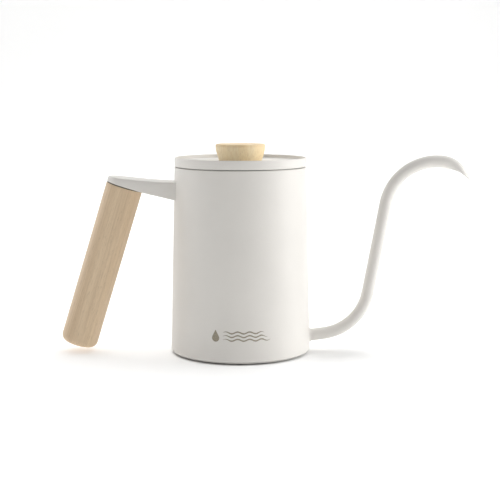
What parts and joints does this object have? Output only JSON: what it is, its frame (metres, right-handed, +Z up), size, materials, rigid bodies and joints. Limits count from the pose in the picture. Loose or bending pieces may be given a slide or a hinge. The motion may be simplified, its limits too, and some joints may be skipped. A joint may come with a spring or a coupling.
{
  "type": "gooseneck pour-over kettle",
  "caption": "Small painted steel pour-over kettle with a gooseneck spout, a straight wooden grip and a lift-off lid with a wooden knob.",
  "frame": {"origin": "centre of the base's flat underside, on the pot's axis, at the plane the kettle stands on", "axes": "+Z up along the pot's axis; +X out along the spout, so the handle is towards -X; the kettle mirrors across Y = 0"},
  "size_m": [0.255, 0.087, 0.1301],
  "materials": {
    "paint": "satin warm white powder coat",
    "stainless": "fine brushed",
    "beech": "oiled beech, fine grain along the axis",
    "dark_rubber": "matte",
    "silicone": "translucent white, satin",
    "brass": "machined",
    "fastener_steel": "bright"
  },
  "bodies": {
    "kettle": {"body_shell": "paint", "base_disc": "stainless", "spout_tube": "paint", "spout_collar": "paint", "handle_arm": "paint", "handle_grip": "beech", "grip_gasket": "dark_rubber", "grip_insert": "brass", "grip_stud": "fastener_steel"},
    "lid_seat": {"lid_seal": "silicone"},
    "lid": {"lid_cap": "paint", "lid_liner": "stainless", "lid_knob": "beech", "knob_gasket": "silicone", "knob_insert": "brass", "knob_washer": "fastener_steel", "knob_screw": "fastener_steel"}
  },
  "joints": [
    {"name": "lid_lift", "type": "slide", "parent": "kettle", "child": "lid_seat", "axis": [0, 0, 1], "range_m": [0, 0.12]},
    {"name": "lid_turn", "type": "hinge", "parent": "lid_seat", "child": "lid", "pos_m": [0, 0, 0.118], "axis": [0, 0, 1], "continuous": true}
  ]
}
